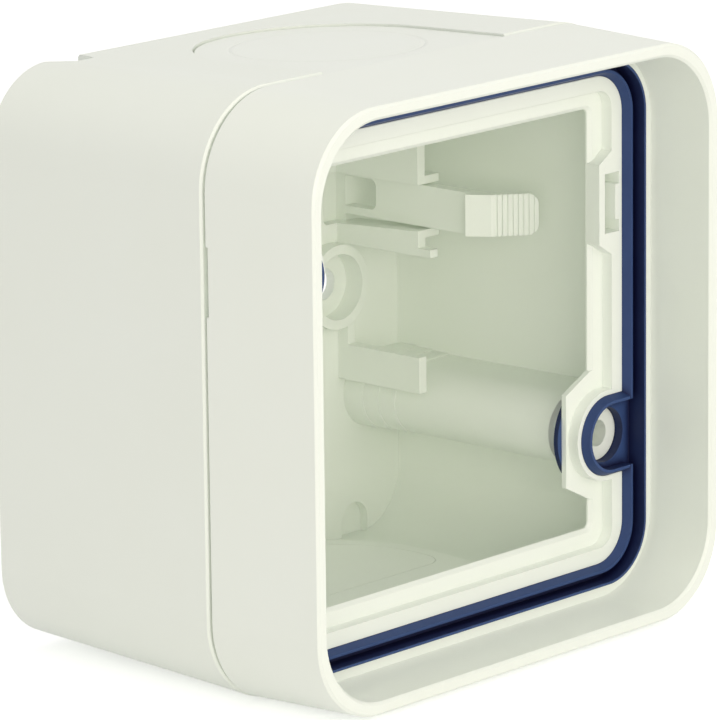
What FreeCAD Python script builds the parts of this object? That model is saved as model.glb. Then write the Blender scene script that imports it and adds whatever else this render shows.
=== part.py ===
import FreeCAD, Part
import math
import os
import re
import Sketcher

# Weatherproof surface box for one wiring device: rear box, front frame with conduit tongues, sealing gasket.
# X runs to the right and Z up, as seen from the front, and Y runs into the wall. The wall face is Y = 0 with the
# origin at its middle, so a point at some height off the wall has Y = -height. Half a turn about Y brings the
# box onto itself: what stands on one side is drawn once and repeated by a pattern.

SIZES = {
    # Shell of the rear box
    "box_wide": (80, "width at the seam"),
    "box_tall": (79, "height at the seam"),
    "box_depth": (39, "wall face to seam"),
    "corner_radius": (12, "outer corner at the seam"),
    "rear_taper": (1.5, "draft of each side over the box's depth"),
    "side_wall": (2.0, "thickness of the box's sides"),
    "back_wall": (2.5, "thickness of the box's back"),
    "back_chamfer": (0.4, "chamfer of the edge at the wall"),
    "seam_chamfer": (0.3, "chamfer of both edges at the seam"),
    "overlap": (0.2, "how far parts of one moulding run into each other, and cuts past a face"),
    "lip_thick": (1.0, "thickness of the inner lip"),
    "lip_root": (2.0, "how far the lip reaches below the seam"),
    "lip_rise": (2.5, "how far the lip stands past the seam"),
    "lip_clearance": (0.1, "gap between the lip and the frame"),
    # Conduit entries and the tongues that fill them
    "tongue_wide": (34.3, "width of the tongue's plug"),
    "tongue_centre": (23.55, "height of the entry's centre off the wall"),
    "tongue_inset": (0.3, "how far the plug lies below the box's face"),
    "tongue_clearance": (0.25, "gap between the tongue and the box"),
    "flange_wide": (46.4, "width of the flange inside the box's wall"),
    "flange_thick": (2.1, "thickness of that flange"),
    "flange_corner": (18, "corner of the flange at the rear"),
    "flange_end": (3.0, "height of the flange's rear end off the wall"),
    "thin_rim": (2.0, "border of the flange left round its thin part"),
    "thin_depth": (1.2, "how far the thin part is sunk"),
    "thin_long": (19.5, "length of the thin part"),
    "thin_corner": (3.0, "corner of the thin part nearer the seam"),
    # Screw pillars
    "screw_inset": (9.4, "screw axis from the outside of the box"),
    "screw_drop": (15.75, "screw axis below the middle"),
    "pillar_radius": (4.8, "half-round pillar"),
    "post_radius": (3.65, "round post on the pillar, inside the gasket's sleeve"),
    "post_clearance": (0.1, "gap between the post and the sleeve"),
    "pillar_step": (0.15, "growth of each step at the pillar's foot"),
    "foot_step_low": (6.0, "height of the lowest step off the wall"),
    "foot_step_mid": (8.7, "height of the middle step off the wall"),
    "foot_step_high": (11.6, "height of the highest step off the wall"),
    "pilot_radius": (1.8, "screw hole"),
    "pilot_depth": (25, "depth of the screw hole"),
    # Ribs on the back wall
    "rib_inset": (15.6, "inner face of the ribs from the outside"),
    "rib_thick": (1.5, "thickness of the ribs"),
    "rib_rise": (17.3, "height of the ribs off the wall"),
    "rib_top": (26, "upper end of the upper rib"),
    "rib_foot": (2.8, "reach of the feet beside the finger"),
    "foot_thick": (1.1, "thickness of those feet"),
    "stop_top": (6.9, "upper end of the stop on the middle rib"),
    "stop_bottom": (5.8, "lower end of that stop"),
    "stop_rise": (19.5, "height of that stop off the wall"),
    "sill_rise": (4.3, "height of the low sill off the wall"),
    "guard_top": (8.3, "upper end of the lower rib, below the middle"),
    "guard_bottom": (13.3, "lower end of the lower rib, below the middle"),
    # Snap fingers
    "finger_middle": (12.35, "middle of the finger above the middle"),
    "finger_wide": (5.7, "width of the finger"),
    "finger_slit": (0.3, "gap between the finger and its neighbours"),
    "slit_taper": (0.75, "how much wider the lower slit is at the finger's root"),
    "finger_thick": (1.8, "thickness of the blade"),
    "hook_height": (25.2, "height of the hook's shoulder off the wall"),
    "hook_depth": (1.2, "overhang of the hook"),
    "bend_run": (2.0, "smooth ramp, sideways"),
    "bend_rise": (2.9, "smooth ramp, forwards"),
    "grip_run": (5.0, "ribbed grip, sideways"),
    "grip_rise": (4.1, "ribbed grip, forwards"),
    "grip_thick": (1.5, "thickness of the grip"),
    "grip_corner": (1.5, "corners of the grip's end"),
    "grip_grooves": (8, "number of grooves in the grip"),
    "grip_groove": (0.3, "width of a groove"),
    "grip_depth": (0.25, "depth of a groove"),
    "window_leg_low": (1.1, "leg left below the window at the finger's root"),
    "window_leg_high": (0.4, "leg left above that window"),
    "window_top": (8.1, "height of the window's end off the wall"),
    "window_corner": (1.0, "corner of that window"),
    "pit_wide": (4.45, "pit in the back wall in front of the finger"),
    "pit_depth": (1.7, "depth of that pit"),
    "pit_corner": (0.8, "corner of that pit"),
    # Wall fixing
    "fixing_pitch": (45.4, "distance between the wall screws"),
    "collar_radius": (5.9, "outside of the collar"),
    "collar_rise": (4.5, "height of the collar off the wall"),
    "counterbore_radius": (4.55, "seat of the screw head"),
    "counterbore_depth": (3.0, "depth of that seat"),
    "fixing_radius": (2.2, "hole for the wall screw"),
    # Notch in the rear edge, and the half-round recess inside
    "notch_start": (22.0, "steep side of the notch from the middle"),
    "notch_end": (28.8, "shallow side of the notch from the middle"),
    "notch_flat": (3.6, "length of the notch's flat floor"),
    "notch_round": (1.5, "bend at the foot of the shallow side"),
    "notch_depth": (1.05, "depth of the notch at the wall"),
    "notch_run": (4.0, "how far off the wall the notch runs out"),
    "arch_middle": (27.3, "middle of the recess from the middle of the box"),
    "arch_radius": (2.6, "half-round top of the recess"),
    "arch_rise": (1.9, "straight sides of the recess"),
    "arch_depth": (1.3, "depth of the recess"),
    # Front frame
    "frame_depth": (18.2, "seam to front rim"),
    "frame_taper": (0.7, "draft of each side over the frame's depth"),
    "frame_inset": (0.1, "how far the frame lies inside the box's outline"),
    "seam_gap": (0.3, "gap at the seam"),
    "skirt_wall": (1.7, "thickness of the skirt"),
    "rim_chamfer": (0.35, "chamfer of the rim's edges"),
    "recess_depth": (10.2, "rim to ledge"),
    "recess_corner": (10.3, "corner of the recess at the rim"),
    "ledge_wide": (1.5, "width of the ledge"),
    "seat_wide": (2.45, "width of the gasket's seat"),
    "seat_drop": (3.0, "ledge to gasket seat"),
    "seat_corner": (5.25, "inner corner of the gasket's seat"),
    "flat_wide": (2.1, "width of the flat inside the gasket"),
    "flat_drop": (1.7, "ledge to that flat"),
    "step_drop": (1.65, "step from the flat to the border"),
    "step_corner": (2.5, "corner of that step"),
    "border_wide": (2.0, "width of the border of the opening"),
    "bevel_run": (0.5, "bevel of the opening's edge, sideways"),
    "bevel_drop": (0.5, "bevel of the opening's edge, backwards"),
    "opening_corner": (0.8, "corner of the opening"),
    "web_rise": (3.85, "rear face of the web above the seam"),
    "pry_middle": (16.35, "middle of the pry slot below the middle"),
    "pry_long": (8.9, "length of the pry slot"),
    "pry_wide": (0.6, "how far the pry slot cuts into the frame"),
    # Screw ears and clip slots of the frame
    "ear_reach": (6.6, "ear's edge from the screw axis"),
    "ear_root": (8.8, "half length of the ear at the opening's edge"),
    "ear_tip": (6.3, "half length of the ear's edge"),
    "boss_radius": (6.2, "raised rim round the ear's seat"),
    "clip_middle": (15.7, "middle of the clip slot above the middle"),
    "bridge_edge": (5.4, "half length of the raised bridge at the opening's edge"),
    "bridge_root": (7.1, "half length of the bridge at the step"),
    "bridge_wall": (1.15, "wall between the opening and the clip slot"),
    "clip_deep": (2.9, "depth of the clip slot, sideways"),
    "clip_half": (4.0, "half length of the clip slot"),
    "bar_half": (2.4, "half length of the bar in the clip slot"),
    "bar_thick": (0.8, "thickness of that bar"),
    # Gasket
    "gasket_clearance": (0.05, "gap between the gasket and its seat"),
    "gasket_base": (0.75, "thickness under the channel"),
    "bead_wide": (0.95, "width of the inner bead"),
    "bead_top": (0.4, "width of the bead's flat top"),
    "bead_rise": (1.1, "height of the bead above the frame's flat"),
    "gasket_lip": (0.35, "thickness of the outer lip"),
    "gasket_rise": (3.5, "height of the outer lip"),
    "lug_radius": (5.45, "round end of the gasket's ear"),
    "sleeve_radius": (4.5, "outside of the sleeve"),
    "sleeve_depth": (1.3, "how far the pillar's post ends below the ear's face"),
    "washer_radius": (7.4, "flange of the sleeve behind the web"),
    "washer_thick": (0.7, "thickness of that flange"),
}
ALIAS = re.compile(r"\b(" + "|".join(SIZES) + r")\b")
SAME_PLACE = 0.0001  # mm: edges this near to a height lie at it

# Places that several pieces share, as formulas of the sizes above
HALF_WIDE = "(box_wide / 2)"
HALF_TALL = "(box_tall / 2)"
REAR_DRAFT = "atan(rear_taper / box_depth)"
FRAME_FOOT = "(box_depth + seam_gap)"
RIM = "(box_depth + frame_depth)"
LEDGE = f"({RIM} - recess_depth)"
SEAT = f"({LEDGE} - seat_drop)"
FLAT = f"({LEDGE} - flat_drop)"
BORDER = f"({FLAT} - step_drop)"
WEB = "(box_depth + web_rise)"
SCREW = (f"({HALF_WIDE} - screw_inset)", "(-screw_drop)")
RIM_INSET = "(frame_inset + frame_taper + skirt_wall)"
SEAT_OUT = f"({RIM_INSET} + ledge_wide)"
SEAT_IN = f"({SEAT_OUT} + seat_wide)"
STEP_OUT = f"({SEAT_IN} + flat_wide)"
BEVEL_OUT = f"({STEP_OUT} + border_wide)"
OPENING = f"({BEVEL_OUT} + bevel_run)"
FLANGE_FACE = "(side_wall + tongue_clearance)"
FLANGE_BACK = f"({FLANGE_FACE} + flange_thick)"
LUG_FACE = f"({SEAT} + gasket_base)"
POST_END = f"({LUG_FACE} - sleeve_depth)"

doc = FreeCAD.newDocument("surface_mount_box")
sheet = doc.addObject("Spreadsheet::Sheet", "Sizes")
for row, (alias, (size, meaning)) in enumerate(SIZES.items(), start=1):
    sheet.set(f"A{row}", alias)
    sheet.set(f"B{row}", str(size))
    sheet.setAlias(f"B{row}", alias)
    sheet.set(f"C{row}", meaning)
doc.recompute()


def bound(formula):
    """Return a formula with its size names written as references to the sheet."""
    return ALIAS.sub(r"Sizes.\1", formula)


def number(formula):
    """Return what a formula comes to now."""
    return float(sheet.evalExpression(bound(formula)))


# Sketches

def new_sketch(body, name, role, height="0"):
    """Add a sketch on one of the body's origin planes, moved along the plane's normal."""
    sketch = body.newObject("Sketcher::SketchObject", name)
    sketch.AttachmentSupport = (origin_feature(body, role), [""])
    sketch.MapMode = "FlatFace"
    sketch.setExpression("AttachmentOffset.Base.z", bound(height))
    return sketch


def origin_feature(body, role):
    """Find a plane or an axis of the body's origin."""
    return next(feature for feature in body.Origin.OriginFeatures if feature.Role == role)


def drive(sketch, constraint, formula):
    """Add a constraint whose value follows a formula."""
    index = sketch.addConstraint(constraint)
    sketch.setExpression(f"Constraints[{index}]", bound(formula))


def pin(sketch, geometry, end, place):
    """Hold one end of a line, or a centre, at a place given by two formulas."""
    drive(sketch, Sketcher.Constraint("DistanceX", geometry, end, number(place[0])), place[0])
    drive(sketch, Sketcher.Constraint("DistanceY", geometry, end, number(place[1])), place[1])


def point(place):
    """Return a place as a vector in the sketch."""
    return FreeCAD.Vector(number(place[0]), number(place[1]), 0)


def angle_at(centre, place):
    """Return the direction from a centre to a place, in radians."""
    return math.atan2(place.y - centre.y, place.x - centre.x)


def add_arc(sketch, centre, radius, first, last):
    """Add an arc that runs anticlockwise from one place to another."""
    start = angle_at(centre, first)
    end = angle_at(centre, last)
    if end < start:
        end += 2 * math.pi
    circle = Part.Circle(centre, FreeCAD.Vector(0, 0, 1), radius)
    return sketch.addGeometry(Part.ArcOfCircle(circle, start, end))


def outline(sketch, corners):
    """Draw a closed outline. A corner is (across, along), or (across, along, radius) where it is rounded."""
    count = len(corners)
    points = [point(corner) for corner in corners]
    arrivals = []
    departures = []
    centres = []
    for index in range(count):
        back = (points[index - 1] - points[index]).normalize()
        ahead = (points[(index + 1) % count] - points[index]).normalize()
        radius = number(corners[index][2]) if len(corners[index]) == 3 else 0
        half_angle = back.getAngle(ahead) / 2
        arrivals.append(points[index] + back * (radius / math.tan(half_angle)))
        departures.append(points[index] + ahead * (radius / math.tan(half_angle)))
        if radius:
            bisector = (back + ahead).normalize()
            centres.append(points[index] + bisector * (radius / math.sin(half_angle)))
        else:
            centres.append(None)
    lines = []
    for index in range(count):
        segment = Part.LineSegment(departures[index], arrivals[(index + 1) % count])
        lines.append(sketch.addGeometry(segment))
    for index, corner in enumerate(corners):
        before = lines[index - 1]
        after = lines[index]
        if centres[index] is None:
            sketch.addConstraint(Sketcher.Constraint("Coincident", before, 2, after, 1))
            pin(sketch, after, 1, corner)
        else:
            round_corner(sketch, corner, before, after, arrivals[index], departures[index], centres[index])


def round_corner(sketch, corner, before, after, arrival, departure, centre):
    """Join two lines by a tangent arc and hold the sharp corner that they point at."""
    apex = sketch.addGeometry(Part.Point(point(corner)), True)
    pin(sketch, apex, 1, corner)
    for line in (before, after):
        sketch.addConstraint(Sketcher.Constraint("PointOnObject", apex, 1, line))
    turns_left = (arrival - centre).cross(departure - centre).z > 0
    radius = number(corner[2])
    if turns_left:
        arc = add_arc(sketch, centre, radius, arrival, departure)
    else:
        arc = add_arc(sketch, centre, radius, departure, arrival)
    arrives, departs = (1, 2) if turns_left else (2, 1)
    sketch.addConstraint(Sketcher.Constraint("Tangent", before, 2, arc, arrives))
    sketch.addConstraint(Sketcher.Constraint("Tangent", arc, departs, after, 1))
    drive(sketch, Sketcher.Constraint("Radius", arc, radius), corner[2])


def rectangle(sketch, left, right, low, high):
    """Draw a sharp rectangle."""
    outline(sketch, [(left, low), (right, low), (right, high), (left, high)])


def inset_outline(sketch, inset, radius):
    """Draw the box's rounded outline at the seam, moved inwards."""
    across = f"({HALF_WIDE} - {inset})"
    along = f"({HALF_TALL} - {inset})"
    outline(sketch, [(across, along, radius), (f"-{across}", along, radius),
                     (f"-{across}", f"-{along}", radius), (across, f"-{along}", radius)])


def circle(sketch, centre, radius):
    """Draw a circle."""
    middle = point(centre)
    index = sketch.addGeometry(Part.Circle(middle, FreeCAD.Vector(0, 0, 1), number(radius)))
    pin(sketch, index, 3, centre)
    drive(sketch, Sketcher.Constraint("Radius", index, number(radius)), radius)


def half_round(sketch, centre, radius, root, runs_along_x):
    """Draw a tab with one round end: straight from its root to the round's centre."""
    if runs_along_x:
        roots = [(root, f"{centre[1]} - {radius}"), (root, f"{centre[1]} + {radius}")]
    else:
        roots = [(f"{centre[0]} - {radius}", root), (f"{centre[0]} + {radius}", root)]
    middle = point(centre)
    outwards = middle - (point(roots[0]) + point(roots[1])) / 2
    if outwards.cross(point(roots[1]) - point(roots[0])).z < 0:
        roots.reverse()
    tips = [point(place) + outwards for place in roots]
    right = sketch.addGeometry(Part.LineSegment(point(roots[0]), tips[0]))
    end = add_arc(sketch, middle, number(radius), tips[0], tips[1])
    left = sketch.addGeometry(Part.LineSegment(tips[1], point(roots[1])))
    base = sketch.addGeometry(Part.LineSegment(point(roots[1]), point(roots[0])))
    sketch.addConstraint(Sketcher.Constraint("Tangent", right, 2, end, 1))
    sketch.addConstraint(Sketcher.Constraint("Tangent", end, 2, left, 1))
    sketch.addConstraint(Sketcher.Constraint("Coincident", left, 2, base, 1))
    sketch.addConstraint(Sketcher.Constraint("Coincident", base, 2, right, 1))
    pin(sketch, right, 1, roots[0])
    pin(sketch, left, 2, roots[1])
    pin(sketch, end, 3, centre)
    drive(sketch, Sketcher.Constraint("Radius", end, number(radius)), radius)


# Features

def pad(sketch, length, draft=None, downwards=False):
    """Raise a sketch by a length, along its normal or against it."""
    return extrude("Pad", sketch, length, draft, downwards)


def pocket(sketch, length=None, draft=None, upwards=False):
    """Cut a sketch into the solid against its normal, right through where no length is given."""
    return extrude("Pocket", sketch, length, draft, upwards)


def extrude(kind, sketch, length, draft, turned):
    """Add a pad or a pocket on a sketch to the sketch's body."""
    feature = sketch.getParent().newObject(f"PartDesign::{kind}", f"{sketch.Name}_{kind.lower()}")
    feature.Profile = sketch
    feature.Reversed = turned
    if length:
        feature.setExpression("Length", bound(length))
    else:
        feature.Type = "ThroughAll"
    if draft:
        feature.setExpression("TaperAngle", bound(draft))
    return feature


def chamfer_at(body, name, height, size):
    """Chamfer every edge that lies at a height off the wall."""
    doc.recompute()
    level = -number(height)
    edges = []
    for index, edge in enumerate(body.Tip.Shape.Edges, start=1):
        box = edge.BoundBox
        if abs(box.YMin - level) + abs(box.YMax - level) < SAME_PLACE:
            edges.append(f"Edge{index}")
    feature = body.newObject("PartDesign::Chamfer", name)
    feature.Base = (feature.BaseFeature, edges)
    feature.setExpression("Size", bound(size))


def half_turn(body, features):
    """Repeat features on the other side of the body, half a turn about the depth axis."""
    pattern = body.newObject("PartDesign::PolarPattern", f"{body.Name}_half_turn")
    pattern.Originals = features
    pattern.Axis = (origin_feature(body, "Y_Axis"), [""])
    pattern.Angle = 360
    pattern.Occurrences = 2
    body.Tip = pattern


def new_body(name):
    """Start a piece at the origin of the part's frame."""
    body = doc.addObject("PartDesign::Body", name)
    body.Label = name
    body.Placement = FreeCAD.Placement()
    return body


# Rear box

def make_rear_box():
    """Mould the rear box: shell, then one side's features, then their twins."""
    body = new_body("rear_box")
    make_shell(body)
    sided = [make_entry(body), make_lip(body)]
    sided += make_pillar(body)
    sided += make_ribs(body)
    sided += make_finger(body)
    sided += make_collar(body)
    sided += make_rear_notch(body)
    half_turn(body, sided)
    return body


def make_shell(body):
    """Raise the tapered shell, chamfer its two outer edges and hollow it."""
    shell = new_sketch(body, "shell", "XZ_Plane")
    inset_outline(shell, "rear_taper", "corner_radius - rear_taper")
    pad(shell, "box_depth", REAR_DRAFT)
    chamfer_at(body, "back_edge", "0", "back_chamfer")
    chamfer_at(body, "seam_edge", "box_depth", "seam_chamfer")
    cavity = new_sketch(body, "cavity", "XZ_Plane", "box_depth")
    inset_outline(cavity, "side_wall", "corner_radius - side_wall")
    pocket(cavity, "box_depth - back_wall", f"-{REAR_DRAFT}")


def make_entry(body):
    """Cut the U-shaped conduit entry into the lower wall, from the seam down."""
    entry = new_sketch(body, "entry", "XY_Plane")
    radius = "(tongue_wide / 2 + tongue_clearance)"
    half_round(entry, ("0", "(-tongue_centre)"), radius, "(-box_depth - overlap)", False)
    return pocket(entry)


def make_lip(body):
    """Raise the lip that the frame's skirt fits over, clear of the tongues' flanges."""
    outer = "(frame_inset + skirt_wall + lip_clearance)"
    inner = f"({outer} + lip_thick)"
    gap = "(flange_wide / 2 + tongue_clearance)"
    lip = new_sketch(body, "lip", "XZ_Plane", "box_depth - lip_root")
    outline(lip, [
        (gap, f"{HALF_TALL} - {outer}"),
        (gap, f"{HALF_TALL} - {inner}"),
        (f"{HALF_WIDE} - {inner}", f"{HALF_TALL} - {inner}", f"corner_radius - {inner}"),
        (f"{HALF_WIDE} - {inner}", f"{inner} - {HALF_TALL}", f"corner_radius - {inner}"),
        (gap, f"{inner} - {HALF_TALL}"),
        (gap, f"{outer} - {HALF_TALL}"),
        (f"{HALF_WIDE} - {outer}", f"{outer} - {HALF_TALL}", f"corner_radius - {outer}"),
        (f"{HALF_WIDE} - {outer}", f"{HALF_TALL} - {outer}", f"corner_radius - {outer}"),
    ])
    return pad(lip, "lip_root + lip_rise")


def make_pillar(body):
    """Raise the half-round screw pillar with its stepped foot, its round post and the screw hole."""
    root = f"({HALF_WIDE} - side_wall + overlap)"
    pillar = new_sketch(body, "pillar", "XZ_Plane", "back_wall")
    half_round(pillar, SCREW, "pillar_radius", root, True)
    features = [pad(pillar, "box_depth - back_wall")]
    steps = ("foot_step_high", "foot_step_mid", "foot_step_low")
    for count, top in enumerate(steps, start=1):
        step = new_sketch(body, f"pillar_foot_{count}", "XZ_Plane", "back_wall")
        half_round(step, SCREW, f"(pillar_radius + pillar_step * {count})", root, True)
        features.append(pad(step, f"{top} - back_wall"))
    post = new_sketch(body, "post", "XZ_Plane", "box_depth")
    circle(post, SCREW, "post_radius")
    features.append(pad(post, f"{POST_END} - box_depth"))
    pilot = new_sketch(body, "pilot", "XZ_Plane", POST_END)
    circle(pilot, SCREW, "pilot_radius")
    features.append(pocket(pilot, "pilot_depth"))
    return features


RIB_FACE = f"({HALF_WIDE} - rib_inset)"
FINGER_LOW = "(finger_middle - finger_wide / 2)"
FINGER_HIGH = "(finger_middle + finger_wide / 2)"
SLIT_LOW = f"({FINGER_LOW} - finger_slit)"
SLIT_ROOT = f"({SLIT_LOW} - slit_taper)"
SLIT_HIGH = f"({FINGER_HIGH} + finger_slit)"


def make_ribs(body):
    """Raise the upright ribs on the back wall and the two feet that stand beside the finger."""
    ribs = new_sketch(body, "ribs", "YZ_Plane", RIB_FACE)
    rectangle(ribs, "-rib_rise", "-back_wall", SLIT_HIGH, "rib_top")
    outline(ribs, [
        ("-back_wall", SLIT_ROOT),
        ("-rib_rise", SLIT_LOW),
        ("-rib_rise", "stop_top"),
        ("-stop_rise", "stop_top"),
        ("-stop_rise", "stop_bottom"),
        ("-sill_rise", "stop_bottom"),
        ("-sill_rise", "-guard_top"),
        ("-rib_rise", "-guard_top"),
        ("-rib_rise", "-guard_bottom"),
        ("-back_wall", "-guard_bottom"),
    ])
    feet = new_sketch(body, "feet", "YZ_Plane", RIB_FACE)
    rectangle(feet, "-rib_rise", "-back_wall", SLIT_HIGH, f"{SLIT_HIGH} + foot_thick")
    outline(feet, [
        ("-back_wall", SLIT_ROOT),
        ("-rib_rise", SLIT_LOW),
        ("-rib_rise", f"{SLIT_LOW} - foot_thick"),
        ("-back_wall", f"{SLIT_ROOT} - foot_thick"),
    ])
    return [pad(ribs, "rib_thick"), pad(feet, "rib_thick + rib_foot")]


BLADE_FACE = f"({RIB_FACE} + rib_thick + finger_slit)"
GRIP_START = (f"({BLADE_FACE} - hook_depth + bend_run)", "(hook_height + bend_rise)")
GRIP_LONG = "hypot(grip_run; grip_rise)"


def make_finger(body):
    """Raise the snap finger: blade with hook and root window over a pit, then the ribbed grip on its slope."""
    blade = new_sketch(body, "blade", "XY_Plane", FINGER_LOW)
    behind = f"({GRIP_START[0]} + grip_thick * grip_rise / {GRIP_LONG})"
    below = f"({GRIP_START[1]} - grip_thick * grip_run / {GRIP_LONG})"
    outline(blade, [
        (BLADE_FACE, "-back_wall"),
        (BLADE_FACE, "-hook_height"),
        (f"{BLADE_FACE} - hook_depth", "-hook_height"),
        (GRIP_START[0], f"-{GRIP_START[1]}"),
        (behind, f"-{below}"),
        (f"{BLADE_FACE} + finger_thick", "-hook_height"),
        (f"{BLADE_FACE} + finger_thick", "-back_wall"),
    ])
    window = new_sketch(body, "window", "YZ_Plane", f"{BLADE_FACE} + finger_thick")
    low = f"{FINGER_LOW} + window_leg_low"
    high = f"{FINGER_HIGH} - window_leg_high"
    outline(window, [("-back_wall", low), ("-back_wall", high),
                     ("-window_top", high, "window_corner"), ("-window_top", low, "window_corner")])
    pit = new_sketch(body, "pit", "XZ_Plane", "back_wall")
    outline(pit, [(BLADE_FACE, SLIT_ROOT), (BLADE_FACE, SLIT_HIGH),
                  (f"{BLADE_FACE} - pit_wide", SLIT_HIGH, "pit_corner"),
                  (f"{BLADE_FACE} - pit_wide", SLIT_ROOT, "pit_corner")])
    grip = on_grip(body, "grip")
    outline(grip, [("0", "finger_wide / 2"), ("0", "-finger_wide / 2"),
                   (GRIP_LONG, "-finger_wide / 2", "grip_corner"), (GRIP_LONG, "finger_wide / 2", "grip_corner")])
    features = [pad(blade, "finger_wide"), pocket(window, "finger_thick + finger_slit"), pocket(pit, "pit_depth")]
    features.append(pad(grip, "grip_thick", downwards=True))
    grooves = on_grip(body, "grip_grooves")
    for index in range(int(number("grip_grooves"))):
        middle = f"{GRIP_LONG} * {index + 1} / (grip_grooves + 1)"
        rectangle(grooves, f"{middle} - grip_groove / 2", f"{middle} + grip_groove / 2",
                  "-finger_wide", "finger_wide")
    features.append(pocket(grooves, "grip_depth"))
    return features


def on_grip(body, name):
    """Add a sketch on the grip's sloping face, with its first axis up the slope from the bend."""
    sketch = new_sketch(body, name, "XZ_Plane", GRIP_START[1])
    sketch.setExpression("AttachmentOffset.Base.x", bound(GRIP_START[0]))
    sketch.setExpression("AttachmentOffset.Base.y", bound("finger_middle"))
    sketch.setExpression("AttachmentOffset.Rotation.Axis.x", "0")
    sketch.setExpression("AttachmentOffset.Rotation.Axis.y", "1")
    sketch.setExpression("AttachmentOffset.Rotation.Axis.z", "0")
    sketch.setExpression("AttachmentOffset.Rotation.Angle", bound("-atan(grip_rise / grip_run)"))
    return sketch


def make_collar(body):
    """Raise the collar round the wall screw, sink the seat of the screw's head and drill the hole."""
    place = ("(fixing_pitch / 2)", "0")
    collar = new_sketch(body, "collar", "XZ_Plane", "back_wall")
    circle(collar, place, "collar_radius")
    seat = new_sketch(body, "screw_seat", "XZ_Plane", "collar_rise")
    circle(seat, place, "counterbore_radius")
    hole = new_sketch(body, "screw_hole", "XZ_Plane", "collar_rise")
    circle(hole, place, "fixing_radius")
    return [pad(collar, "collar_rise - back_wall"), pocket(seat, "counterbore_depth"), pocket(hole)]


def make_rear_notch(body):
    """Cut the notch that runs out up the lower wall's outside, and sink the half-round recess inside."""
    face = f"({HALF_TALL} - rear_taper)"
    slope = "(notch_end - notch_start - notch_flat) / notch_depth"
    clear = "(notch_depth + rear_taper)"
    notch = new_sketch(body, "rear_notch", "XZ_Plane")
    outline(notch, [
        ("notch_start", f"-{face} - {clear}"),
        (f"notch_end + {slope} * {clear}", f"-{face} - {clear}"),
        ("notch_start + notch_flat", f"notch_depth - {face}", "notch_round"),
        ("notch_start", f"notch_depth - {face}"),
    ])
    arch = new_sketch(body, "arch", "XZ_Plane", "back_wall")
    foot = f"(side_wall - {face})"
    half_round(arch, ("arch_middle", f"({foot} + arch_rise)"), "arch_radius", f"({foot} - overlap)", False)
    features = [pocket(notch, "notch_run", "-atan(notch_depth / notch_run)", upwards=True)]
    features.append(pocket(arch, "arch_depth"))
    return features


# Front frame

def make_front_frame():
    """Mould the front frame: skirt and stepped web, then one side's features, then their twins."""
    body = new_body("front_frame")
    make_skirt(body)
    make_web(body)
    sided = make_ear(body)
    sided += make_clip_slot(body)
    sided += make_tongue(body)
    sided.append(make_pry_slot(body))
    half_turn(body, sided)
    return body


def make_skirt(body):
    """Raise the skirt as a block, sink the recess from the rim and hollow the rear over the box's lip."""
    skirt = new_sketch(body, "skirt", "XZ_Plane", FRAME_FOOT)
    inset_outline(skirt, "frame_inset", "corner_radius - frame_inset")
    pad(skirt, f"{RIM} - {FRAME_FOOT}", f"-atan(frame_taper / ({RIM} - {FRAME_FOOT}))")
    recess = new_sketch(body, "recess", "XZ_Plane", RIM)
    inset_outline(recess, RIM_INSET, "recess_corner")
    pocket(recess, "recess_depth")
    chamfer_at(body, "rim_edges", RIM, "rim_chamfer")
    chamfer_at(body, "frame_seam_edge", FRAME_FOOT, "seam_chamfer")
    hollow = new_sketch(body, "hollow", "XZ_Plane", FRAME_FOOT)
    inset_outline(hollow, "(frame_inset + skirt_wall)", "corner_radius - frame_inset - skirt_wall")
    pocket(hollow, f"{WEB} - {FRAME_FOOT}", upwards=True)


def make_web(body):
    """Sink the web's steps, from the ledge inwards to the bevelled opening."""
    terrace = new_sketch(body, "terrace", "XZ_Plane", LEDGE)
    inset_outline(terrace, SEAT_OUT, "seat_corner + seat_wide")
    pocket(terrace, "flat_drop")
    step = new_sketch(body, "step", "XZ_Plane", FLAT)
    inset_outline(step, STEP_OUT, "step_corner")
    pocket(step, "step_drop")
    bevel = new_sketch(body, "bevel", "XZ_Plane", BORDER)
    inset_outline(bevel, BEVEL_OUT, "opening_corner + bevel_run")
    pocket(bevel, "bevel_drop", "-atan(bevel_run / bevel_drop)")
    opening = new_sketch(body, "opening", "XZ_Plane", BORDER)
    inset_outline(opening, OPENING, "opening_corner")
    pocket(opening)


def make_ear(body):
    """Raise the screw ear and its rim, then sink the gasket's seat, ring and ear together, and the hole."""
    edge = f"({HALF_WIDE} - {OPENING})"
    plate = new_sketch(body, "ear_plate", "XZ_Plane", WEB)
    outline(plate, [
        (f"{edge} + bevel_run", f"{SCREW[1]} - ear_root"),
        (f"{edge} + bevel_run", f"{SCREW[1]} + ear_root"),
        (edge, f"{SCREW[1]} + ear_root"),
        (f"{SCREW[0]} - ear_reach", f"{SCREW[1]} + ear_tip"),
        (f"{SCREW[0]} - ear_reach", f"{SCREW[1]} - ear_tip"),
        (edge, f"{SCREW[1]} - ear_root"),
    ])
    boss = new_sketch(body, "ear_boss", "XZ_Plane", WEB)
    circle(boss, SCREW, "boss_radius")
    features = [pad(plate, f"{BORDER} - {WEB}"), pad(boss, f"{FLAT} - {WEB}")]
    seat = new_sketch(body, "gasket_seat", "XZ_Plane", FLAT)
    inset_outline(seat, SEAT_OUT, "seat_corner + seat_wide")
    inset_outline(seat, SEAT_IN, "seat_corner")
    features.append(pocket(seat, "seat_drop - flat_drop"))
    lug = new_sketch(body, "lug_seat", "XZ_Plane", FLAT)
    half_round(lug, SCREW, "(lug_radius + gasket_clearance)", f"({HALF_WIDE} - {SEAT_IN} + seat_wide / 2)", True)
    features.append(pocket(lug, "seat_drop - flat_drop"))
    hole = new_sketch(body, "sleeve_hole", "XZ_Plane", SEAT)
    circle(hole, SCREW, "(sleeve_radius + gasket_clearance)")
    features.append(pocket(hole))
    return features


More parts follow.
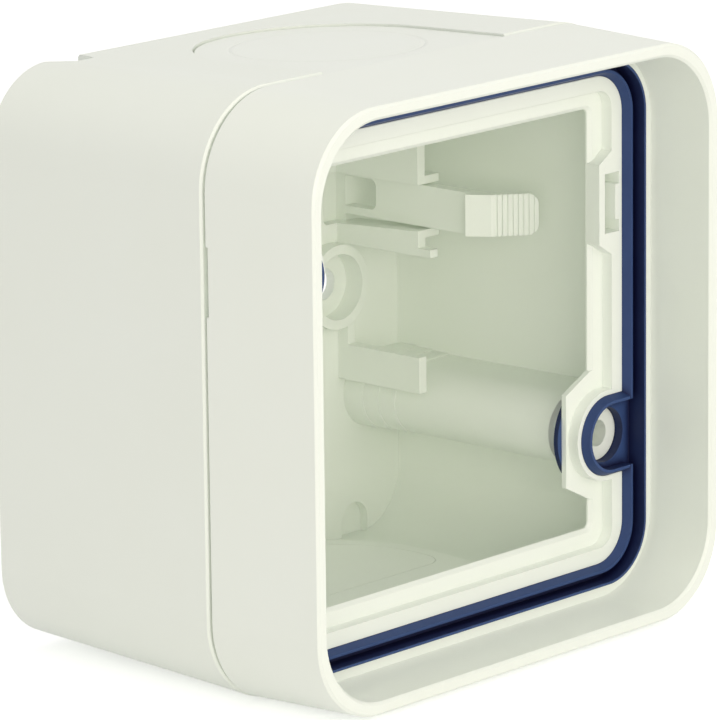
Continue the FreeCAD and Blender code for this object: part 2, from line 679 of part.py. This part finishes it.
def make_clip_slot(body):
    """Raise the bridge at the opening's edge, cut the clip slot behind it and stand the bar in the slot."""
    edge = f"({HALF_WIDE} - {OPENING})"
    step = f"({HALF_WIDE} - {STEP_OUT} + overlap)"
    near = f"({edge} + bridge_wall)"
    far = f"({near} + clip_deep)"
    bridge = new_sketch(body, "bridge", "XZ_Plane", WEB)
    outline(bridge, [
        (edge, "clip_middle - bridge_edge"),
        (step, "clip_middle - bridge_root"),
        (step, "clip_middle + bridge_root"),
        (edge, "clip_middle + bridge_edge"),
    ])
    slot = new_sketch(body, "clip_slot", "XZ_Plane", FLAT)
    rectangle(slot, near, far, "clip_middle - clip_half", "clip_middle + clip_half")
    bar = new_sketch(body, "clip_bar", "XZ_Plane", WEB)
    rectangle(bar, f"{far} - bar_thick", f"{far} + overlap", "clip_middle - bar_half", "clip_middle + bar_half")
    return [pad(bridge, f"{FLAT} - {WEB}"), pocket(slot), pad(bar, f"{FLAT} - {WEB}")]


def on_tongue(body, name, depth):
    """Add a sketch parallel to the box's sloping upper face, at a depth below it.

    Its origin is at the seam and its second axis runs down the slope, towards the wall.
    """
    sketch = new_sketch(body, name, "XY_Plane", f"{HALF_TALL} - {depth}")
    sketch.setExpression("AttachmentOffset.Base.y", bound("-box_depth"))
    sketch.setExpression("AttachmentOffset.Rotation.Axis.x", "1")
    sketch.setExpression("AttachmentOffset.Rotation.Axis.y", "0")
    sketch.setExpression("AttachmentOffset.Rotation.Axis.z", "0")
    sketch.setExpression("AttachmentOffset.Rotation.Angle", bound(f"-{REAR_DRAFT}"))
    return sketch


def make_tongue(body):
    """Raise the tongue that fills the upper conduit entry: plug, wider flange inside, thin part to break out."""
    centre = ("0", "(box_depth - tongue_centre)")
    plug = on_tongue(body, "plug", "tongue_inset")
    half_round(plug, centre, "(tongue_wide / 2)", "(-seam_gap - seam_chamfer)", False)
    flange = on_tongue(body, "flange", FLANGE_FACE)
    outline(flange, [
        ("-flange_wide / 2", "-web_rise - overlap"),
        ("flange_wide / 2", "-web_rise - overlap"),
        ("flange_wide / 2", "box_depth - flange_end", "flange_corner"),
        ("-flange_wide / 2", "box_depth - flange_end", "flange_corner"),
    ])
    thin = on_tongue(body, "thin_part", FLANGE_BACK)
    across = "(flange_wide / 2 - thin_rim)"
    end = "box_depth - flange_end - thin_rim"
    outline(thin, [
        (f"-{across}", f"{end} - thin_long", "thin_corner"),
        (across, f"{end} - thin_long", "thin_corner"),
        (across, end, "flange_corner - thin_rim"),
        (f"-{across}", end, "flange_corner - thin_rim"),
    ])
    return [
        pad(plug, f"{FLANGE_FACE} - tongue_inset + overlap", downwards=True),
        pad(flange, "flange_thick", downwards=True),
        pocket(thin, "thin_depth", upwards=True),
    ]


def make_pry_slot(body):
    """Cut the slot for a screwdriver's tip into the skirt's rear edge."""
    slot = new_sketch(body, "pry_slot", "YZ_Plane", f"{HALF_WIDE} - frame_inset - skirt_wall - overlap")
    rectangle(slot, f"-{FRAME_FOOT} - pry_wide", f"-{FRAME_FOOT} + overlap",
              "-pry_middle - pry_long / 2", "-pry_middle + pry_long / 2")
    return pocket(slot, "skirt_wall + frame_inset + overlap", upwards=True)


# Gasket

BEAD_SLOPE = "atan((bead_wide - bead_top) / bead_rise)"


def make_front_gasket():
    """Mould the gasket: channelled ring, then one ear with its sleeve, then its twin."""
    body = new_body("front_gasket")
    outer = f"({SEAT_OUT} + gasket_clearance)"
    inner = f"({SEAT_IN} - gasket_clearance)"
    inner_corner = "(seat_corner + gasket_clearance)"
    outer_corner = "(seat_corner + seat_wide - gasket_clearance)"
    channel = f"({inner} - bead_wide)"

    base = new_sketch(body, "ring_base", "XZ_Plane", SEAT)
    inset_outline(base, outer, outer_corner)
    inset_outline(base, inner, inner_corner)
    pad(base, "gasket_base")
    lip = new_sketch(body, "ring_lip", "XZ_Plane", LUG_FACE)
    inset_outline(lip, outer, outer_corner)
    inset_outline(lip, f"({outer} + gasket_lip)", f"{outer_corner} - gasket_lip")
    pad(lip, "gasket_rise - gasket_base")
    bead = new_sketch(body, "ring_bead", "XZ_Plane", LUG_FACE)
    inset_outline(bead, channel, f"{inner_corner} + bead_wide")
    inset_outline(bead, inner, inner_corner)
    pad(bead, f"{FLAT} + bead_rise - {LUG_FACE}")
    slope = new_sketch(body, "bead_slope", "XZ_Plane", f"{FLAT} + bead_rise")
    inset_outline(slope, f"({channel} + bead_top)", f"{inner_corner} + bead_wide - bead_top")
    pocket(slope, "bead_rise", f"-{BEAD_SLOPE}")

    half_turn(body, make_lug(body, f"({HALF_WIDE} - {channel})"))
    return body


def make_lug(body, channel):
    """Raise the gasket's ear out to the channel: bead round it, sleeve through the web, flange behind the web."""
    lug = new_sketch(body, "lug", "XZ_Plane", SEAT)
    half_round(lug, SCREW, "lug_radius", channel, True)
    bead = new_sketch(body, "lug_bead", "XZ_Plane", FLAT)
    half_round(bead, SCREW, "lug_radius", channel, True)
    tray = new_sketch(body, "lug_tray", "XZ_Plane", f"{FLAT} + bead_rise")
    half_round(tray, SCREW, "(lug_radius - bead_wide)", f"({channel} + overlap)", True)
    behind = f"{WEB} - washer_thick"
    sleeve = new_sketch(body, "sleeve", "XZ_Plane", behind)
    circle(sleeve, SCREW, "sleeve_radius")
    washer = new_sketch(body, "washer", "XZ_Plane", behind)
    half_round(washer, SCREW, "washer_radius", f"({HALF_WIDE} - {SEAT_OUT})", True)
    bore = new_sketch(body, "sleeve_bore", "XZ_Plane", LUG_FACE)
    circle(bore, SCREW, "(post_radius + post_clearance)")
    return [
        pad(lug, f"{FLAT} - {SEAT}"),
        pad(bead, "bead_rise", f"-{BEAD_SLOPE}"),
        pocket(tray, f"{FLAT} + bead_rise - {LUG_FACE}"),
        pad(sleeve, f"{LUG_FACE} - {WEB} + washer_thick"),
        pad(washer, "washer_thick"),
        pocket(bore),
    ]


def check_features():
    """Stop if a feature failed, or if a pocket cut nothing because it points away from the solid."""
    for feature in doc.Objects:
        if "Invalid" in feature.State or "Error" in feature.State:
            raise RuntimeError(f"{feature.Name} failed")
        if feature.TypeId == "PartDesign::Pocket" and feature.Shape.Volume >= feature.BaseFeature.Shape.Volume:
            raise RuntimeError(f"{feature.Name} cuts nothing")


def check_piece(body):
    """Stop unless a piece is one sound solid."""
    shape = body.Shape
    if shape.isNull() or not shape.isValid() or len(shape.Solids) != 1:
        raise RuntimeError(f"{body.Label} is not one sound solid")


pieces = [make_rear_box(), make_front_frame(), make_front_gasket()]
doc.recompute()
check_features()
for piece in pieces:
    check_piece(piece)

os.makedirs("parts", exist_ok=True)
for piece in pieces:
    piece.Shape.exportStep(f"parts/{piece.Label}.step")
    print(piece.Label, "volume", round(piece.Shape.Volume, 1), "faces", len(piece.Shape.Faces))
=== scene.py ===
# %% [markdown]
# # A weatherproof surface box, dressed for a studio picture
#
# The box is three mouldings: a deep white rear box, a white front frame and a blue sealing gasket.
# Their shapes come ready-made from the CAD model. This lesson adds what CAD leaves out: the finish of
# each moulding, the floor it stands on, the light and the camera.

import math

import bpy
from mathutils import Matrix, Vector


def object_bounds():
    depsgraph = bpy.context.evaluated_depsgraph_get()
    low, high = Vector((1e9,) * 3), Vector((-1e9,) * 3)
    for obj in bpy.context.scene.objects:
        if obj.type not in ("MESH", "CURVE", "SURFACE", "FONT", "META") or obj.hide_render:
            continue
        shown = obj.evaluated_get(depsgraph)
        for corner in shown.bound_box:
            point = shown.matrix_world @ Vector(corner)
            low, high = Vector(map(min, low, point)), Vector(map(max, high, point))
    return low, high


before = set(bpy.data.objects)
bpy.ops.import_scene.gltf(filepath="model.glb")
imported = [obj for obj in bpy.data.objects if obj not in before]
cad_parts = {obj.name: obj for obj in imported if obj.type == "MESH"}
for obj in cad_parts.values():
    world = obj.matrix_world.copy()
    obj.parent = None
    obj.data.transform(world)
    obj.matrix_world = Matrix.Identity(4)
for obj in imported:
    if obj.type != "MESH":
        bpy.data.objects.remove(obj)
cad_low, cad_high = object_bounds()
MM = 0.001
print("pieces:", sorted(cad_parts), "size in mm:", [round(side / MM, 1) for side in cad_high - cad_low])

# %% [markdown]
# ## Colours and nodes
#
# A colour picked on a screen is an sRGB value, and the renderer works with linear light, so one function
# turns the one into the other. A second function adds a node, sets it up and links it. Both could be done by
# hand in the node editor, but in a script two small helpers keep every material short enough to read.

# %% Helpers for materials
def linear(hex_colour):
    """Turn an sRGB hex colour into linear light with full opacity."""
    channels = [int(hex_colour[start:start + 2], 16) / 255 for start in (1, 3, 5)]
    return [c / 12.92 if c <= 0.04045 else ((c + 0.055) / 1.055) ** 2.4 for c in channels] + [1.0]


def add(tree, kind, inputs, **settings):
    """Add a node, set its options, and give each input a value or a link from another node's output."""
    node = tree.nodes.new(kind)
    for name, value in settings.items():
        setattr(node, name, value)
    for name, value in inputs.items():
        if isinstance(value, bpy.types.NodeSocket):
            tree.links.new(value, node.inputs[name])
        else:
            node.inputs[name].default_value = value
    return node


def new_material(name):
    """Start an empty material and return it with its tree of nodes."""
    material = bpy.data.materials.new(name)
    material.use_nodes = True
    material.node_tree.nodes.clear()
    return material, material.node_tree


def wear(piece, material):
    """Give a piece of the model a material in place of the plain one that it came with."""
    piece.data.materials.clear()
    piece.data.materials.append(material)


# A Mix node has several sockets of the same name; these are the numbers of the ones for colours.
MIX_FACTOR, MIX_A, MIX_B, MIX_RESULT = 0, 6, 7, 2
print("white is", linear("#FFFFFF"))

# %% [markdown]
# ## White housing plastic
#
# Rear box and frame are moulded in white ASA, a relative of ABS that stands the weather. The mould's steel is
# spark-eroded, which leaves a fine even grain: the eye sees a soft satin white with wide, weak highlights and no
# mirror images. The white is not quite neutral: a little yellow keeps it from looking like paper. One flat colour
# would do from afar, but it looks like a computer model. So two close whites drift into each other over a
# centimetre or two, as the melt does when it flows into the mould, and the grain stirs the gloss.

# %% Moulded white plastic
GRAIN = 0.35 * MM
GRAIN_DEPTH = 0.02 * MM
GRAIN_STRENGTH = 0.35
DRIFT = 14 * MM  # streaks of the melt
EDGE_SOFTNESS = 0.12 * MM
NOISE_LOW, NOISE_HIGH = 0.3, 0.7  # most of a Noise node's values lie between these


def moulded_plastic(name, pale, warm, gloss_low, gloss_high, mark=None):
    """White thermoplastic from a spark-eroded mould. The real grain is 0.05 mm; it is drawn coarser to show."""
    material, tree = new_material(name)
    place = add(tree, "ShaderNodeTexCoord", {}).outputs["Object"]
    drift = add(tree, "ShaderNodeTexNoise", {"Vector": place, "Scale": 1 / DRIFT, "Detail": 2.0})
    grain = add(tree, "ShaderNodeTexNoise", {"Vector": place, "Scale": 1 / GRAIN, "Detail": 3.0})
    colour = add(tree, "ShaderNodeMix", {MIX_FACTOR: drift.outputs["Fac"], MIX_A: linear(pale), MIX_B: linear(warm)},
                 data_type="RGBA")
    gloss = add(tree, "ShaderNodeMapRange", {"Value": grain.outputs["Fac"], "From Min": NOISE_LOW,
                                             "From Max": NOISE_HIGH, "To Min": gloss_low, "To Max": gloss_high})
    edges = add(tree, "ShaderNodeBevel", {"Radius": EDGE_SOFTNESS}, samples=4)
    relief = add(tree, "ShaderNodeBump", {"Height": grain.outputs["Fac"], "Distance": GRAIN_DEPTH,
                                          "Strength": GRAIN_STRENGTH, "Normal": edges.outputs["Normal"]})
    normal = relief.outputs["Normal"]
    if mark:
        normal = mark(tree, place, normal)
    skin = add(tree, "ShaderNodeBsdfPrincipled", {"Base Color": colour.outputs[MIX_RESULT], "IOR": 1.54,
                                                  "Roughness": gloss.outputs["Result"], "Normal": normal})
    add(tree, "ShaderNodeOutputMaterial", {"Surface": skin.outputs["BSDF"]})
    return material


box_plastic = moulded_plastic("moulded_white_asa_box", "#F1F5F0", "#EFF3EC", 0.42, 0.52)
wear(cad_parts["rear_box"], box_plastic)
print("white plastic on rear_box")

# %% [markdown]
# ## Knock-out ring
#
# The tongues that close the conduit entries have a thin middle, which is knocked out where a conduit comes in.
# Outside, only a fine ring shows where it will break. It could be cut into the model, but it is a tenth of a
# millimetre deep, so relief in the frame's plastic is enough: the distance from the entry's axis finds the ring,
# and the distance from the box's middle keeps it on the outside.

# %% White plastic with the ring
KNOCKOUT_AXIS = Vector((0, -23.55, 0)) * MM
KNOCKOUT_RADIUS = 12.7 * MM
RING_HALF = 0.4 * MM  # half the ring's width
RING_DEPTH = 0.1 * MM
OUTSIDE = 37.6 * MM  # the tongues' outer faces lie farther than this above and below the middle
WITHOUT_HEIGHT = (1, 1, 0)


def knockout_ring(tree, place, normal):
    """Sink a fine ring into the outside of both tongues, and return the surface's new normal."""
    beside = add(tree, "ShaderNodeVectorMath", {0: place, 1: KNOCKOUT_AXIS}, operation="SUBTRACT")
    level = add(tree, "ShaderNodeVectorMath", {0: beside.outputs["Vector"], 1: WITHOUT_HEIGHT},
                operation="MULTIPLY")
    away = add(tree, "ShaderNodeVectorMath", {0: level.outputs["Vector"]}, operation="LENGTH")
    off_ring = add(tree, "ShaderNodeMath", {0: away.outputs["Value"], 1: KNOCKOUT_RADIUS}, operation="SUBTRACT")
    off_ring = add(tree, "ShaderNodeMath", {0: off_ring.outputs["Value"]}, operation="ABSOLUTE")
    ring = add(tree, "ShaderNodeMapRange", {"Value": off_ring.outputs["Value"], "From Max": RING_HALF,
                                            "To Min": 1.0, "To Max": 0.0})
    height = add(tree, "ShaderNodeSeparateXYZ", {"Vector": place}).outputs["Z"]
    height = add(tree, "ShaderNodeMath", {0: height}, operation="ABSOLUTE")
    outside = add(tree, "ShaderNodeMath", {0: height.outputs["Value"], 1: OUTSIDE}, operation="GREATER_THAN")
    groove = add(tree, "ShaderNodeMath", {0: ring.outputs["Result"], 1: outside.outputs["Value"]},
                 operation="MULTIPLY")
    sunk = add(tree, "ShaderNodeBump", {"Height": groove.outputs["Value"], "Distance": RING_DEPTH, "Normal": normal},
               invert=True)
    return sunk.outputs["Normal"]


frame_plastic = moulded_plastic("moulded_white_asa_frame", "#F1F5F0", "#EFF3EC", 0.36, 0.46, knockout_ring)
wear(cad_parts["front_frame"], frame_plastic)
print("white plastic with knock-out rings on front_frame")

# %% [markdown]
# ## Blue gasket rubber
#
# The gasket is a thermoplastic rubber, moulded in navy blue. Its colour carries painted light and painted shade:
# the open ridges that face the front are painted a paler blue, as if lit, and the narrow channel between them is
# painted nearly black, as painted shade. Two nodes find these places by themselves. Ambient Occlusion measures how
# much of the surroundings a point can see within a short distance, and so paints shade into the channel. The
# surface's direction paints most of what faces sideways in the darker, shaded blue as well.

# %% Moulded blue rubber
RUBBER_MOTTLE = 2.5 * MM  # patches of random tone in the paler blue of the painted light
RUBBER_SKIN = 0.5 * MM  # ripples of the skin, finer on the real rubber and drawn coarser to show
RIPPLE_DEPTH = 0.02 * MM
RIPPLE_STRENGTH = 0.3
CHANNEL_DEPTH = 1.6 * MM
SHELTERED, OPEN = 0.5, 0.95  # shares of the surroundings seen from the channel and from a ridge
FACES_FRONT = -0.7  # the normal's part along the depth, which is negative towards the front
# share of the paler, painted-light blue that faces turned sideways still get
SIDE_LIT_SHARE = 0.25
RUBBER_GLOSS_LOW, RUBBER_GLOSS_HIGH = 0.4, 0.6


def moulded_rubber(name, shaded_navy, lit_blue_low, lit_blue_high):
    """Navy thermoplastic rubber, painted nearly black as shade in the channel and paler blue as painted light on
    open, front-facing ridges: a soft blue, with no mirror images.
    """
    material, tree = new_material(name)
    coordinates = add(tree, "ShaderNodeTexCoord", {}).outputs
    place = coordinates["Object"]
    mottle = add(tree, "ShaderNodeTexNoise", {"Vector": place, "Scale": 1 / RUBBER_MOTTLE, "Detail": 4.0})
    ripple = add(tree, "ShaderNodeTexNoise", {"Vector": place, "Scale": 1 / RUBBER_SKIN, "Detail": 2.0})
    # Ambient Occlusion paints shade: the sheltered channel gets the shaded navy.
    shelter = add(tree, "ShaderNodeAmbientOcclusion", {"Distance": CHANNEL_DEPTH}, samples=8, only_local=True)
    openness = add(tree, "ShaderNodeMapRange", {"Value": shelter.outputs["AO"], "From Min": SHELTERED,
                                            "From Max": OPEN})
    # Faces turned to the front get more of the paler blue as painted light; faces turned sideways keep mostly the
    # shaded navy.
    depth_way = add(tree, "ShaderNodeSeparateXYZ", {"Vector": coordinates["Normal"]}).outputs["Y"]
    to_front = add(tree, "ShaderNodeMapRange", {"Value": depth_way, "From Min": 0.0, "From Max": FACES_FRONT,
                                                "To Min": SIDE_LIT_SHARE, "To Max": 1.0})
    painted_light_share = add(tree, "ShaderNodeMath", {0: openness.outputs["Result"], 1: to_front.outputs["Result"]},
               operation="MULTIPLY")
    # Two paler blues for the painted light, with random patches of tone between them.
    lit_blue = add(tree, "ShaderNodeMix", {MIX_FACTOR: mottle.outputs["Fac"], MIX_A: linear(lit_blue_low),
                                        MIX_B: linear(lit_blue_high)}, data_type="RGBA")
    # The colour mixes shaded and lit copies of the rubber's blue: painted shade in the channel, painted light on
    # open, front-facing ridges.
    colour = add(tree, "ShaderNodeMix", {MIX_FACTOR: painted_light_share.outputs["Value"], MIX_A: linear(shaded_navy),
                                         MIX_B: lit_blue.outputs[MIX_RESULT]}, data_type="RGBA")
    gloss = add(tree, "ShaderNodeMapRange", {"Value": mottle.outputs["Fac"], "To Min": RUBBER_GLOSS_LOW,
                                             "To Max": RUBBER_GLOSS_HIGH})
    edges = add(tree, "ShaderNodeBevel", {"Radius": EDGE_SOFTNESS}, samples=4)
    relief = add(tree, "ShaderNodeBump", {"Height": ripple.outputs["Fac"], "Distance": RIPPLE_DEPTH,
                                          "Strength": RIPPLE_STRENGTH, "Normal": edges.outputs["Normal"]})
    skin = add(tree, "ShaderNodeBsdfPrincipled", {"Base Color": colour.outputs[MIX_RESULT], "IOR": 1.5,
                                                  "Specular IOR Level": 0.25, "Roughness": gloss.outputs["Result"],
                                                  "Normal": relief.outputs["Normal"]})
    add(tree, "ShaderNodeOutputMaterial", {"Surface": skin.outputs["BSDF"]})
    return material


# Shaded navy for the painted shade, then two paler blues for the painted light.
gasket_rubber = moulded_rubber("moulded_blue_thermoplastic_rubber", "#10143A", "#2E4474", "#3A5080")
wear(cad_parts["front_gasket"], gasket_rubber)
print("blue rubber on front_gasket")

# %% [markdown]
# ## Floor
#
# The box stands on a plain floor, painted matt and almost white. A large flat sheet is enough, because the
# camera looks down and sees mostly floor behind the box. In a catalogue picture the paper round the box is pure
# white. More lamps would burn the box out before the floor got there, so the floor glows a little instead, and
# only in rays that come from the camera or by way of gloss or glass: it looks white, it lights nothing, and the
# box's soft shadow stays.

# %% Floor
FLOOR_HALF = 3.0  # metres
FLOOR_LIFT = 0.5


def looked_at(tree):
    """Give 1 for rays from the camera, and for rays that a glossy or clear surface sends on; 0 for soft light."""
    path = add(tree, "ShaderNodeLightPath", {}).outputs
    direct = add(tree, "ShaderNodeMath", {0: path["Is Camera Ray"], 1: path["Is Glossy Ray"]}, operation="MAXIMUM")
    either = add(tree, "ShaderNodeMath", {0: direct.outputs["Value"], 1: path["Is Transmission Ray"]},
                 operation="MAXIMUM")
    return either.outputs["Value"]


def lay_floor():
    """Lay a square sheet under the lowest point of the box, in matt white paint that shows no highlights."""
    corners = [(-FLOOR_HALF, -FLOOR_HALF), (FLOOR_HALF, -FLOOR_HALF), (FLOOR_HALF, FLOOR_HALF),
               (-FLOOR_HALF, FLOOR_HALF)]
    mesh = bpy.data.meshes.new("floor")
    mesh.from_pydata([(x, y, cad_low.z) for x, y in corners], [], [(0, 1, 2, 3)])
    floor = bpy.data.objects.new("floor", mesh)
    bpy.context.scene.collection.objects.link(floor)
    material, tree = new_material("matt_white_floor")
    paint = add(tree, "ShaderNodeBsdfDiffuse", {"Color": linear("#F4F4F4")})
    level = add(tree, "ShaderNodeMath", {0: looked_at(tree), 1: FLOOR_LIFT}, operation="MULTIPLY")
    lift = add(tree, "ShaderNodeEmission", {"Color": linear("#FFFFFF"), "Strength": level.outputs["Value"]})
    both = add(tree, "ShaderNodeAddShader", {0: paint.outputs["BSDF"], 1: lift.outputs["Emission"]})
    add(tree, "ShaderNodeOutputMaterial", {"Surface": both.outputs["Shader"]})
    mesh.materials.append(material)


lay_floor()
print("floor at", round(cad_low.z / MM, 1), "mm")

# %% [markdown]
# ## Light
#
# A catalogue picture of a white thing needs light from all round, so that nothing burns out and no side is lost,
# and a little more from a few sides, so that its faces differ by a few shades. A pale world gives the first. Three
# large soft lamps give the second: one beside the camera for the outside and the depth of the box, one in front
# for the walls of the opening, and one above for the top. Their light is a little warm, as studio lamps are.
#
# Inside a white box, light goes from wall to wall many times before it is lost. The renderer stops after a few
# such turns, which leaves a deep box too dark, so it is allowed more of them here.

# %% World and lamps
SKY = 0.52
LAMP_AWAY = 1.2  # metres
LAMP_SIZE = 1.0  # metres
LAMP_COLOUR = "#FFF9E9"
WALL_TO_WALL = 12


def fill_world():
    """Fill the world with a soft white that the camera, gloss and glass see as full white."""
    world = bpy.data.worlds.new("studio")
    world.use_nodes = True
    tree = world.node_tree
    tree.nodes.clear()
    level = add(tree, "ShaderNodeMapRange", {"Value": looked_at(tree), "To Min": SKY, "To Max": 1.0})
    sky = add(tree, "ShaderNodeBackground", {"Color": linear("#FFFFFF"), "Strength": level.outputs["Result"]})
    add(tree, "ShaderNodeOutputWorld", {"Surface": sky.outputs["Background"]})
    bpy.context.scene.world = world


def hang_lamp(name, towards, power):
    """Hang a large round lamp in a direction from the box's middle, facing the box."""
    lamp = bpy.data.objects.new(name, bpy.data.lights.new(name, "AREA"))
    lamp.data.shape = "DISK"
    lamp.data.size = LAMP_SIZE
    lamp.data.energy = power
    lamp.data.color = linear(LAMP_COLOUR)[:3]
    towards = Vector(towards).normalized()
    lamp.location = (cad_low + cad_high) / 2 + towards * LAMP_AWAY
    lamp.rotation_euler = (-towards).to_track_quat("-Z", "Y").to_euler()
    bpy.context.scene.collection.objects.link(lamp)


fill_world()
bpy.context.scene.cycles.diffuse_bounces = WALL_TO_WALL
hang_lamp("lamp_beside_camera", towards=(-0.66, -0.75, 0.0), power=6.9)
hang_lamp("lamp_front", towards=(0.0, -0.95, 0.3), power=3.4)
hang_lamp("lamp_above", towards=(0.0, -0.15, 0.97), power=4.3)
print("sky", SKY, "and three lamps")

# %% [markdown]
# ## Camera
#
# The picture is taken with a long lens from the front left, a little above. A long lens keeps the far side of
# the box nearly as large as the near side. A constraint could aim the camera at the box, but the picture is also
# tilted by a hair, so the camera's own three directions are worked out from its angles.

# %% Camera
CAMERA_PLACE = Vector((-535.5, -517.4, 169.0)) * MM
CAMERA_AZIMUTH = math.radians(47.62)
CAMERA_DIP = math.radians(13.30)
CAMERA_ROLL = math.radians(-0.66)
LENS = 285.3  # millimetres, as is the sensor
SENSOR = 36.0


def set_camera():
    """Stand the camera where the photographer stood."""
    forward = Vector((math.sin(CAMERA_AZIMUTH) * math.cos(CAMERA_DIP),
                      math.cos(CAMERA_AZIMUTH) * math.cos(CAMERA_DIP), -math.sin(CAMERA_DIP)))
    level = Vector((math.cos(CAMERA_AZIMUTH), -math.sin(CAMERA_AZIMUTH), 0))
    right = Matrix.Rotation(-CAMERA_ROLL, 3, forward) @ level
    up = right.cross(forward)
    camera = bpy.data.objects.new("camera", bpy.data.cameras.new("camera"))
    camera.data.lens = LENS
    camera.data.sensor_width = SENSOR
    turn = Matrix((right, up, -forward)).transposed().to_4x4()
    camera.matrix_world = Matrix.Translation(CAMERA_PLACE) @ turn
    bpy.context.scene.collection.objects.link(camera)
    bpy.context.scene.camera = camera


set_camera()
bpy.context.scene.view_settings.view_transform = "Standard"
print("camera", round(CAMERA_PLACE.length, 3), "m away")
